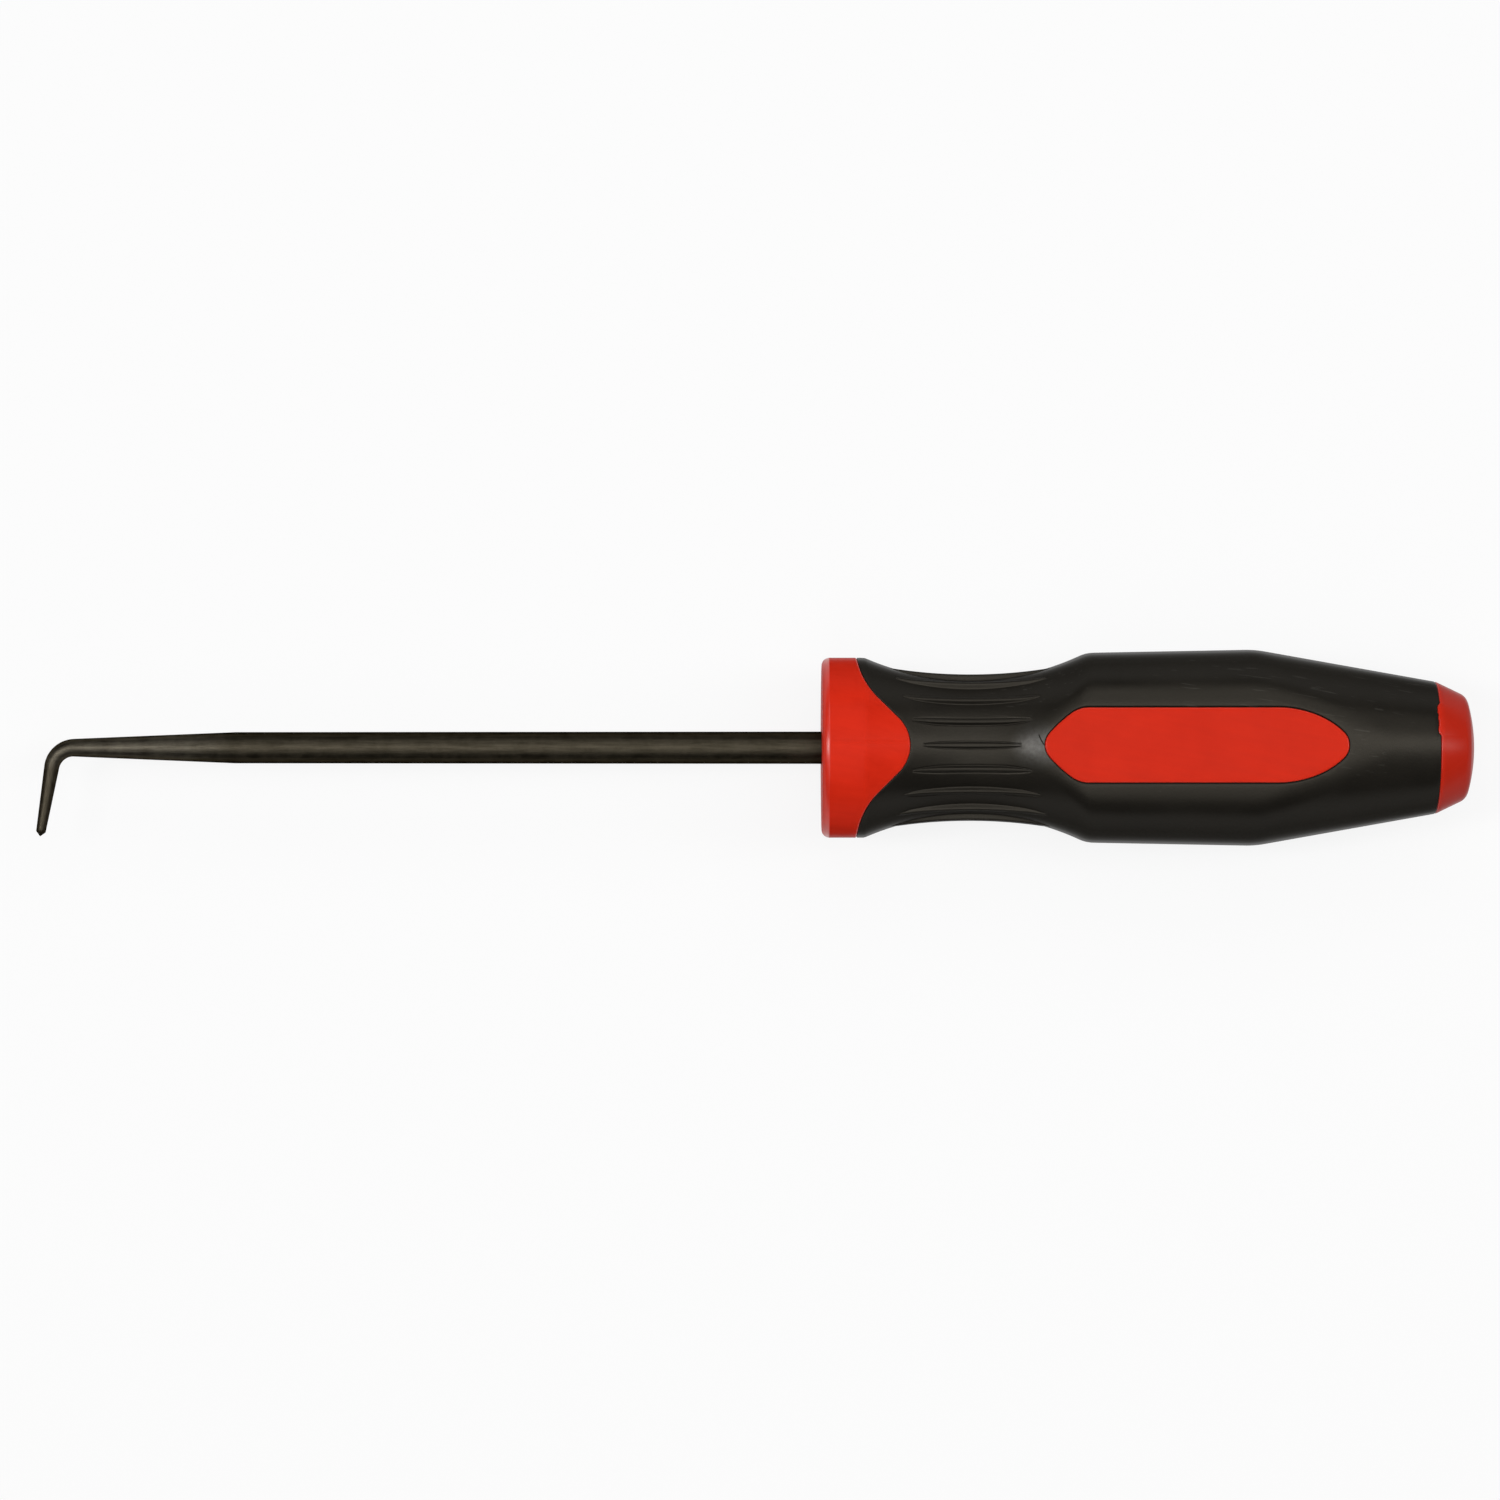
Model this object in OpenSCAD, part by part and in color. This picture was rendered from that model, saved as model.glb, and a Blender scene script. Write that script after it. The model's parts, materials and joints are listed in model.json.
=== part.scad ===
// O-ring pick: a bent, pointed steel pick in a handle of two plastics.
// The handle's axis runs along X, with the hook at -X and the butt at +X. The tool lies on its back, with the
// hook pointing to -Y, and the origin is on the table under the middle of the tool. Sizes are in millimetres.
// Inside the modules X is measured from the front face of the handle, and Z from its axis.

/* [Pick] */
// Diameter of the parallel shank
shank_d = 5.3; // [4.5:0.1:6.5]
// Length of the parallel shank in front of the handle
shank_len = 97.7; // [70:0.1:130]
// Length of the straight taper, from the parallel shank to the bend
taper_len = 26.9; // [18:0.1:40]
// Diameter of the hook where its point begins
tip_d = 1.6; // [1.2:0.1:2.4]
// Radius of the bend, on the centre line
bend_r = 3.75; // [3:0.05:6]
// Angle that the bend turns through
bend_turn = 80.7; // [60:0.1:100]
// Length of the hook, from the bend to the end of the point
hook_len = 11.8; // [8:0.1:18]
// Angle of the point, from side to side
point_angle = 90; // [60:1:120]
// Length of the tang inside the handle
tang_len = 66; // [58:1:80]
// Width across the tang's two wings, which stop it turning
wing_w = 9; // [7:0.5:11]
// Thickness of the wings
wing_t = 2.2; // [1.6:0.1:3]
// Length of the wings along the tang
wing_len = 11; // [8:0.5:14]

/* [Handle] */
// Length of the handle
handle_len = 108.6; // [106:0.1:116]
// Diameter of the bolster at the front
bolster_d = 30; // [28:0.1:31.6]
// Rounding of the bolster's front edge
bolster_edge = 1.3; // [0.6:0.1:2]
// Diameter of the waist, between the ribs
waist_d = 22.6; // [21:0.1:24]
// Radius of the waist's hollow, along the handle
waist_arc = 43.5; // [40:0.5:48]
// Distance of the waist from the front face
waist_x = 24.7; // [24:0.1:26]
// Diameter of the swell at its front end
swell_front_d = 31.7; // [31:0.1:32.4]
// Diameter of the swell at its rear end
swell_rear_d = 32.7; // [32.2:0.1:33.4]
// Distance of the swell's rear end from the front face
swell_rear_x = 72.2; // [68:0.1:76]
// Rounding where the waist meets the swell
swell_front_edge = 6; // [3:0.5:8]
// Rounding where the swell meets the rear cone
swell_rear_edge = 17; // [8:0.5:24]
// Diameter at the rear end of the cone
cone_end_d = 22; // [20:0.1:24]
// Length of the butt past the cone
butt_len = 6.3; // [5:0.1:7]
// Angle of the butt's chamfer, from the axis
butt_slope = 25.7; // [20:0.1:32]
// Rounding between the butt's chamfer and its end
butt_edge = 2; // [1:0.1:3]
// Radius of the butt's domed end
butt_dome = 28; // [22:1:40]

/* [Flattened faces] */
// Half thickness of the handle where the flat faces begin
face_half = 12.9; // [12.4:0.1:13.4]
// Distance from the front face where that is measured
face_x = 36.4; // [35:0.1:38]
// Angle by which each flat face opens towards the butt
face_lean = 0.55; // [0:0.05:1]
// Half width of the flat face
face_flat = 5.2; // [4:0.1:6]
// Rounding from the flat face to the side of the swell
face_round = 11.2; // [10:0.1:12]

/* [Grip] */
// Thickness of the soft grip over the core
grip_wall = 2.2; // [1.8:0.1:2.8]
// Distance from the front face to the grip's rear edge
grip_end_x = 102.1; // [98:0.1:102.2]
// Number of ribs round the waist
rib_count = 18; // [12:2:20]
// Width of a rib
rib_w = 1.25; // [0.9:0.05:1.5]
// Radius of a rib's crest, along the handle
rib_arc = 85; // [70:1:110]
// Half length of the ribs at the front and the back
rib_half_front = 8.3; // [7:0.1:9]
// Half length that the ribs at the sides have more
rib_half_gain = 5.1; // [3:0.1:5.5]

/* [Red fields] */
// Distance from the front face to the bolster's rear edge at the sides
tongue_root_x = 5.8; // [4:0.1:6.5]
// Distance from the front face to the end of a tongue
tongue_tip_x = 14.5; // [12.5:0.1:15]
// Rounding of the tongue's end
tongue_tip_r = 6.5; // [5:0.1:7.5]
// Rounding at the tongue's root
tongue_root_r = 11.5; // [8:0.1:13]
// Angle of the tongue's flanks from the axis
tongue_flank = 45; // [40:1:50]
// Distance from the front face to the front end of the window
window_front_x = 36.6; // [35.5:0.1:40]
// Distance from the front face to the rear end of the window
window_rear_x = 86.8; // [80:0.1:90]
// Half width of the window
window_half = 6.4; // [5.8:0.1:7]

/* [Hidden] */
$fn = 96;
// Steps of a small rounding in a profile or an outline
round_steps = 5;
// Spare length of a cutting shape past what it cuts
spare = 1;
// Depth by which a drawn edge crosses the curve that trims it
overlap = 0.05;

// Radii of the pick
shank_r = shank_d / 2;
tip_r = tip_d / 2;
// Length of the ground point
point_len = tip_r / tan(point_angle / 2);
// Lengths along the centre line, from the end of the parallel shank
bend_len = bend_r * bend_turn * PI / 180;
hook_start = taper_len + bend_len;
point_start = hook_start + hook_len - point_len;
// Sides of the bent end, and rings along its bend
hook_sides = 40;
bend_rings = 12;
// Length by which the bent end starts inside the taper, and how far it lies below the taper's skin there
hook_lap = 1;
hook_seat = 0.005;
// Chamfer at the end of the tang
tang_chamfer = 0.8;
// Distance of the wings from the end of the tang, and the length of their sloping ends
wing_end_gap = 9;
wing_slope = 2.5;

// Radii of the handle
bolster_r = bolster_d / 2;
waist_r = waist_d / 2;
swell_front_r = swell_front_d / 2;
swell_rear_r = swell_rear_d / 2;
cone_end_r = cone_end_d / 2;
// Start of the butt's chamfer
cone_end_x = handle_len - butt_len;
// Largest radius that a cutting shape has to clear, and by how much
reach_clear = 4;
reach = swell_rear_r + reach_clear;
// Lengths by which the core's body runs into the bolster, behind its rounding, and into the butt
core_front_lap = 1;
core_rear_lap = 2;
core_front_x = bolster_edge + core_front_lap;
core_rear_x = grip_end_x + core_rear_lap;
// Share of the rounding beside a flat face that the face's cut reaches down
face_cut_share = 0.9;

// Height of the tool's axis over the table
axis_height = bolster_r;
// Ends of the whole tool along X
hook_reach = bend_r * sin(bend_turn) + (hook_len - point_len) * cos(bend_turn) + tip_r * sin(bend_turn);
tool_front_x = -shank_len - taper_len - hook_reach;
tool_middle_x = (tool_front_x + handle_len) / 2;

// Centre of the waist's hollow, as distance along the axis and radius
waist_centre = [waist_x, waist_r + waist_arc];
// Slopes of the swell and of the rear cone
swell_front_x = waist_x + sqrt(waist_arc ^ 2 - (waist_centre[1] - swell_front_r) ^ 2);
swell_rise = atan2(swell_rear_r - swell_front_r, swell_rear_x - swell_front_x);
cone_fall = atan2(swell_rear_r - cone_end_r, cone_end_x - swell_rear_x);

// Centre of the rounding between waist and swell, which touches both
front_edge_r = swell_front_r - swell_front_edge;
front_edge_x = waist_x + sqrt((waist_arc + swell_front_edge) ^ 2 - (waist_centre[1] - front_edge_r) ^ 2);
front_edge_centre = [front_edge_x, front_edge_r];
front_edge_angle = atan2(waist_centre[1] - front_edge_r, waist_x - front_edge_x);

// Centre of the rounding between swell and cone, below their shared corner
rear_edge_drop = swell_rear_edge / cos((swell_rise + cone_fall) / 2);
rear_edge_lean = 90 - (cone_fall - swell_rise) / 2;
rear_edge_centre = [swell_rear_x, swell_rear_r] - rear_edge_drop * heading(rear_edge_lean);

// Centre of the rounding at the butt, which touches the chamfer and the dome
dome_centre = [handle_len - butt_dome, 0];
chamfer_normal = heading(90 - butt_slope);
chamfer_depth = chamfer_normal * ([cone_end_x, cone_end_r] - dome_centre) - butt_edge;
butt_edge_angle = 90 - butt_slope - acos(chamfer_depth / (butt_dome - butt_edge));
butt_edge_centre = dome_centre + (butt_dome - butt_edge) * heading(butt_edge_angle);

// Roundings of the window's two ends: [radius, heading at its end], from its straight edge to its tip
window_front_runs = [[4.9, 37], [21.7, 50]];
window_rear_runs = [[8.2, 22], [15, 45]];

// Unit vector at an angle in a plane
function heading(angle) = [cos(angle), sin(angle)];

// Points along an arc from one angle to another
function arc(centre, radius, from, to, steps) =
  [for (i = [0 : steps]) centre + radius * heading(from + (to - from) * i / steps)];

// Radius of the pick at a distance along its tapered end
function pick_radius(s) = shank_r - (shank_r - tip_r) * s / point_start;

// Place and heading of the centre line at a distance along the tapered end
function bend_angle(s) = min(max(s - taper_len, 0), bend_len) / bend_r * 180 / PI;
function bend_point(angle) = [-shank_len - taper_len, -bend_r] + bend_r * heading(90 + angle);
function centre_line(s) =
  let (angle = bend_angle(s), past = s < taper_len ? s - taper_len : max(s - hook_start, 0))
  bend_point(angle) + past * heading(180 + angle);

// One ring of points round the centre line
function ring(s, radius) =
  let (at = centre_line(s), side = heading(90 + bend_angle(s)))
  [for (k = [0 : hook_sides - 1])
    let (turn = 360 * k / hook_sides)
    [at[0] + radius * cos(turn) * side[0], at[1] + radius * cos(turn) * side[1], radius * sin(turn)]];

// Distances of the rings along the tapered end
hook_stations = concat(
  [taper_len - hook_lap],
  [for (i = [0 : bend_rings]) taper_len + bend_len * i / bend_rings],
  [point_start]);

// Profile of the handle as [distance, radius], drawn inset below its skin and still without the waist's hollow
function handle_points(inset) = concat(
  [[0, 0]],
  arc([bolster_edge, bolster_r - bolster_edge - inset], bolster_edge, 180, 90, round_steps),
  [[waist_x, bolster_r - inset]],
  [front_edge_centre - [0, inset] + (swell_front_edge + overlap) * heading(front_edge_angle)],
  [for (p = arc(front_edge_centre, swell_front_edge, front_edge_angle, 90 + swell_rise, round_steps))
    if (p[0] > front_edge_centre[0] + swell_front_edge * cos(front_edge_angle)) p - [0, inset]],
  arc(rear_edge_centre - [0, inset], swell_rear_edge, 90 + swell_rise, 90 - cone_fall, round_steps),
  [[cone_end_x, cone_end_r - inset]],
  arc(butt_edge_centre - [0, inset], butt_edge, 90 - butt_slope, butt_edge_angle, round_steps),
  arc(dome_centre, butt_dome, butt_edge_angle, 0, 2 * round_steps));

// Half of a window's end: roundings that meet smoothly, from the straight edge to the tip on the axis
function window_drop(runs) = runs[0][0] * (1 - cos(runs[0][1]))
  + runs[1][0] * (cos(runs[0][1]) - cos(runs[1][1]));
function window_tip_r(runs) = (window_half - window_drop(runs)) / cos(runs[1][1]);
function window_end(runs, tip_x) =
  let (
    radius = window_tip_r(runs),
    tip = [tip_x - radius, 0],
    flank = tip + (radius - runs[1][0]) * heading(90 - runs[1][1]),
    shoulder = flank + (runs[1][0] - runs[0][0]) * heading(90 - runs[0][1]))
  concat(
    arc(shoulder, runs[0][0], 90, 90 - runs[0][1], round_steps),
    arc(flank, runs[1][0], 90 - runs[0][1], 90 - runs[1][1], round_steps),
    arc(tip, radius, 90 - runs[1][1], 0, round_steps));

// The other half of an outline that is the same on both sides of the axis, in the reverse order
function mirrored(points) = [for (i = [len(points) - 1 : -1 : 0]) [points[i][0], -points[i][1]]];
// The same points seen from the other end of the axis
function reversed_end(points) = [for (i = [len(points) - 1 : -1 : 0]) [-points[i][0], points[i][1]]];

// Turns a shape from the Z axis to the handle's axis
module along_axis() {
  rotate([0, 90, 0]) children();
}

// Lays a finished piece on the table
module laid_down() {
  translate([-tool_middle_x, 0, axis_height]) children();
}

// Half section of the handle, inset below its skin
module handle_profile(inset) {
  difference() {
    polygon([for (p = handle_points(inset)) [max(p[1], 0), p[0]]]);
    translate([waist_centre[1], waist_centre[0]]) circle(waist_arc + inset);
  }
}

// What a flat face takes off the round swell
module face_waste(inset) {
  section_low = face_half - face_round * face_cut_share;
  translate([face_x, 0, 0]) rotate([0, -face_lean, 0]) translate([waist_x - face_x, 0, 0])
    rotate([90, 0, 90]) linear_extrude(handle_len) difference() {
      translate([-reach, section_low]) square([2 * reach, reach]);
      translate([-face_flat, 0]) square([2 * face_flat, face_half - inset]);
      for (side = [-1, 1]) translate([side * face_flat, face_half - face_round]) circle(face_round - inset);
    }
}

// The handle's whole form, or the same form inset below its skin
module handle_form(inset) {
  difference() {
    along_axis() rotate_extrude() handle_profile(inset);
    face_waste(inset);
    mirror([0, 0, 1]) face_waste(inset);
  }
}

// Body of the core under the grip
module core_body() {
  intersection() {
    handle_form(grip_wall);
    translate([core_front_x, -reach, -reach]) cube([core_rear_x - core_front_x, 2 * reach, 2 * reach]);
  }
}

// Outline of the bolster with its tongue, seen from the front
module bolster_plan() {
  tip = arc([tongue_tip_x - tongue_tip_r, 0], tongue_tip_r, 90 - tongue_flank, 0, round_steps);
  flank_start = tip[0];
  root_x = tongue_root_x + tongue_root_r;
  flank_end_x = root_x - tongue_root_r * sin(tongue_flank);
  flank_end_y = flank_start[1] + (flank_start[0] - flank_end_x) * tan(tongue_flank);
  root_y = flank_end_y + tongue_root_r * cos(tongue_flank);
  root = arc([root_x, root_y], tongue_root_r, 180, 270 - tongue_flank, round_steps);
  half = concat([[-spare, reach + spare], [tongue_root_x, reach + spare]], root, tip);
  polygon(concat(half, mirrored(half)));
}

// Outline of the window, seen from the front
module window_plan() {
  half = concat(
    reversed_end(window_end(window_front_runs, -window_front_x)),
    window_end(window_rear_runs, window_rear_x));
  polygon(concat(half, mirrored(half)));
}

// Fields where the core comes up through the grip
module red_fields() {
  translate([0, 0, -reach]) linear_extrude(2 * reach) {
    bolster_plan();
    window_plan();
    translate([grip_end_x, -reach]) square([handle_len - grip_end_x + spare, 2 * reach]);
  }
}

// Section of a rib: its crest is round and its walls are straight
module rib_section() {
  translate([rib_arc + rib_w / 2, 0]) circle(rib_w / 2);
  translate([rib_arc + rib_w / 2, -rib_w / 2]) square([rib_w / 2, rib_w]);
}

// Ribs of the waist, whose shallow crests run out into its deeper hollow
module ribs() {
  for (i = [0 : rib_count - 1]) {
    turn = 360 * i / rib_count;
    half = rib_half_front + rib_half_gain * abs(sin(turn));
    lift = half ^ 2 / 2 * (1 / waist_arc - 1 / rib_arc);
    swing = asin((half + spare) / rib_arc);
    rotate([turn, 0, 0]) translate([waist_x, 0, waist_r + lift + rib_arc])
      rotate([90, 0, 0]) rotate([0, 0, 270 - swing]) rotate_extrude(angle = 2 * swing) rib_section();
  }
}

// Straight part of the pick: the taper, the parallel shank and the round tang
module straight_bar() {
  along_axis() rotate_extrude() polygon([
    [0, -shank_len - taper_len],
    [pick_radius(taper_len), -shank_len - taper_len],
    [shank_r, -shank_len],
    [shank_r, tang_len - tang_chamfer],
    [shank_r - tang_chamfer, tang_len],
    [0, tang_len]]);
}

// Wings swaged out of the tang
module wings() {
  rear = tang_len - wing_end_gap;
  front = rear - wing_len;
  half = [[front, 0], [front + wing_slope, wing_w / 2], [rear - wing_slope, wing_w / 2], [rear, 0]];
  translate([0, 0, -wing_t / 2]) linear_extrude(wing_t) polygon(concat(half, mirrored(half)));
}

// Tang and straight shank, which the core is moulded round
module moulded_bar() {
  straight_bar();
  wings();
}

// Bent end of the pick: the bend, the hook and its point, swept along the centre line
module bent_end() {
  rings = [for (s = hook_stations) ring(s, pick_radius(max(s, taper_len)) - hook_seat)];
  end = centre_line(hook_start + hook_len);
  points = concat([for (r = rings) each r], [[end[0], end[1], 0]]);
  last = len(rings) - 1;
  sides = [for (i = [0 : last - 1]) for (k = [0 : hook_sides - 1])
    let (a = i * hook_sides + k, b = i * hook_sides + (k + 1) % hook_sides)
    each [[a, b, b + hook_sides], [a, b + hook_sides, a + hook_sides]]];
  point = [for (k = [0 : hook_sides - 1])
    [last * hook_sides + k, last * hook_sides + (k + 1) % hook_sides, len(points) - 1]];
  start = [[for (k = [hook_sides - 1 : -1 : 0]) k]];
  polyhedron(points, concat(start, sides, point));
}

module pick_shank() {
  color("#3b372e") laid_down() {
    moulded_bar();
    bent_end();
  }
}

module handle_core() {
  color("#cf2a17") laid_down() difference() {
    union() {
      core_body();
      intersection() {
        handle_form(0);
        red_fields();
      }
    }
    moulded_bar();
  }
}

module grip_sleeve() {
  color("#2b2925") laid_down() difference() {
    union() {
      handle_form(0);
      ribs();
    }
    core_body();
    red_fields();
  }
}

pick_shank();
handle_core();
grip_sleeve();
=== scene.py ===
"""Looks of the o-ring pick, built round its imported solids.

Meshes are laid out in millimetres, and materials, lamps and the camera are in metres. In the handle, X runs
from its front face towards the butt, and an angle round its axis is measured in degrees from the face that
looks up, towards +Y.
"""

import json
import math

import bpy
import numpy as np
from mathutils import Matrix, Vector, kdtree
from mathutils.geometry import delaunay_2d_cdt


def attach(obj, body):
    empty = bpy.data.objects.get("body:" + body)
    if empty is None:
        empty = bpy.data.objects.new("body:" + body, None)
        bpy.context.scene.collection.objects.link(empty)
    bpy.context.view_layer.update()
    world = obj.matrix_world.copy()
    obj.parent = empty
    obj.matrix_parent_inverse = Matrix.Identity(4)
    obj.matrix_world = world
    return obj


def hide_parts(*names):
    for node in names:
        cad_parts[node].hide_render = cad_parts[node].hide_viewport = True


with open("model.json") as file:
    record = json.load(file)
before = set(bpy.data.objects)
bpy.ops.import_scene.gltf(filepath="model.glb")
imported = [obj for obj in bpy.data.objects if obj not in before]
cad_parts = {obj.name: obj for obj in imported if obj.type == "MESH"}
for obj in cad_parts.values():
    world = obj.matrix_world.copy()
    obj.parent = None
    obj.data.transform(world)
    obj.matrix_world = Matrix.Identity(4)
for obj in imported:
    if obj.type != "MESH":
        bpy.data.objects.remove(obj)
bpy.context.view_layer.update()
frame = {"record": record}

# Metres in a millimetre, and the middle of the handle's front face in the row frame
MM = 0.001
SHOULDER = next(mount for mount in frame["record"]["mounts"] if mount["name"] == "rack_shoulder")
ORIGIN = np.array(SHOULDER["pos_m"]) / MM

# Pick
SHANK_R_FRONT = 2.6
SHANK_R_REAR = 2.69
SHANK_LEN = 97.7
TAPER_LEN = 26.9
TIP_R = 0.8
BEND_R = 3.75
BEND_TURN = 80.7
HOOK_LEN = 11.8
POINT_LEN = 0.8
POINT_ROUND = 0.1
TANG_LEN = 66.0
TANG_CHAMFER = 0.8

# Handle
HANDLE_LEN = 108.6
BOLSTER_R = 15.0
BOLSTER_EDGE = 1.3
BOLSTER_BACK_EDGE = 1.5
WAIST_R = 11.3
WAIST_ARC = 43.5
WAIST_X = 24.7
SWELL_FRONT_R = 15.85
SWELL_REAR_R = 16.35
SWELL_REAR_X = 72.2
SWELL_FRONT_EDGE = 6.0
SWELL_REAR_EDGE = 17.0
CONE_END_R = 11.0
BUTT_LEN = 6.3
BUTT_SLOPE = 25.7
BUTT_EDGE = 2.0
BUTT_DOME = 28.0
BORE_R = 2.72
BORE_RIM = 0.3
BORE_LEN = 66.5

# Flattened faces: their height and lean, half width of the flat, rounding to the sides,
# and how softly they meet them
FACE_HALF = 12.9
FACE_X = 36.4
FACE_LEAN = 0.55
FACE_FLAT = 5.2
FACE_ROUND = 11.2
FACE_LOW = 2.8
FACE_SOFT = 1.0
FACE_FADE = 4.0

# Grip
GRIP_WALL = 2.2
GRIP_END_X = 102.1
RIB_COUNT = 18
RIB_CREST = 0.2
RIB_FOOT = 0.8
RIB_FULL = 0.4
RIB_ARC = 85.0
RIB_HALF_FRONT = 8.3
RIB_HALF_GAIN = 5.1
RIB_GROOVE = 0.22
RIB_GROOVE_SHARE = 0.68
RIB_GROOVE_HALF = 0.32

# Stretch where the grip's rear edge was moulded short: its two ends in degrees,
# how far back it lies, and its nicks
SHORT_FROM = 9.0
SHORT_TO = 40.0
SHORT_SOFT = 1.5
SHORT_BACK = 0.4
NICK_DEPTH = 0.12
NICK_WAVES = (17, 41, 67)

# Red fields
TONGUE_ROOT_X = 5.8
TONGUE_TIP_X = 14.5
TONGUE_TIP_R = 6.5
TONGUE_ROOT_R = 11.5
TONGUE_FLANK = 45.0
WINDOW_FRONT_X = 36.6
WINDOW_REAR_X = 86.8
WINDOW_HALF = 6.4
WINDOW_FRONT_RUNS = ((4.9, 37.0), (21.7, 50.0))
WINDOW_REAR_RUNS = ((16.9, 24.0), (13.1, 45.0))
WINDOW_DROP = 0.2

# Parting line of the mould along the bolster and its tongues, a fine groove beside the middle
PARTING_Y = 0.45
PARTING_HALF = 0.13
PARTING_DEPTH = 0.06
PARTING_CLEAR = 0.15

# Rounded edges where red and black meet, and the seat between the core and the grip
RED_LIP = 0.32
BLACK_LIP = 0.16
SEAT_GAP = 0.01

# Edges rubbed to a shine: the most on the lips, and on the bolster's front rounding,
# as distances from the front face with the share at each
RUBBED_LIP = 0.6
RUBBED_FRONT = ((0.0, 0.35, 0.8, 1.2, BOLSTER_EDGE), (0.0, 0.5, 1.0, 1.0, 0.3))

# Fineness of the meshes
FEWEST_STEPS = 4
PROFILE_STEP = 0.1
EDGE_STEP = 0.2
TAIL_STEP = 0.3
GRID_STEP = 0.6
ROW_STEP = 0.4
RIB_STEP = 0.5
CLEAR_STEP = 0.33
SEAM_CLEAR = 0.3
QUARTER_SIDES = 64
FRONT_FACE_RINGS = 8
BORDER_STEPS = 360
BORDER_ROUNDS = 60
SHEET_FRONT_X = 1.5
SHEET_REAR_X = 101.0
SHEET_R = 14.0
LIP_ROWS = (0.1, 0.33, 0.66, 1.0)
RIB_ROWS = (0.25, 0.4, 0.5, 0.6, 0.68, 0.76, 0.86, 1.0)
RIB_THIN = 0.1
RIB_MARGIN = 0.15
SHARP_ANGLE = 60.0
PICK_SIDES = 72
TANG_RINGS = 30
SHANK_RINGS = 90
TAPER_RINGS = 40
BEND_RINGS = 28
HOOK_RINGS = 24
TINY = 1e-5
WELD_DIGITS = 4
FAR = 1e6

# Kinds of edge between red and black, and the side of each on which the black lies
TONGUE, WINDOW, BUTT = 1, 2, 3
BORDER_SIDE = {TONGUE: 1, WINDOW: -1}


def heading(angle):
    """Unit vector at an angle in a plane."""
    return np.array([math.cos(math.radians(angle)), math.sin(math.radians(angle))])


def angle_of(vector):
    """Angle of a vector in a plane."""
    return math.degrees(math.atan2(vector[1], vector[0]))


def arc(centre, radius, start, end, step=PROFILE_STEP):
    """Points along an arc from one angle to another."""
    steps = max(FEWEST_STEPS, math.ceil(abs(math.radians(end - start)) * radius / step))
    angles = np.radians(np.linspace(start, end, steps + 1))
    return np.asarray(centre) + radius * np.column_stack([np.cos(angles), np.sin(angles)])


def lengths_along(points):
    """Distance of each point of a line from its first."""
    return np.concatenate([[0.0], np.cumsum(np.linalg.norm(np.diff(points, axis=0), axis=1))])


def evenly(points, step):
    """The same line with points about a step apart, ends kept."""
    along = lengths_along(points)
    count = max(FEWEST_STEPS, round(along[-1] / step))
    places = np.linspace(0.0, along[-1], count + 1)
    return np.column_stack([np.interp(places, along, points[:, 0]), np.interp(places, along, points[:, 1])])


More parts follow.
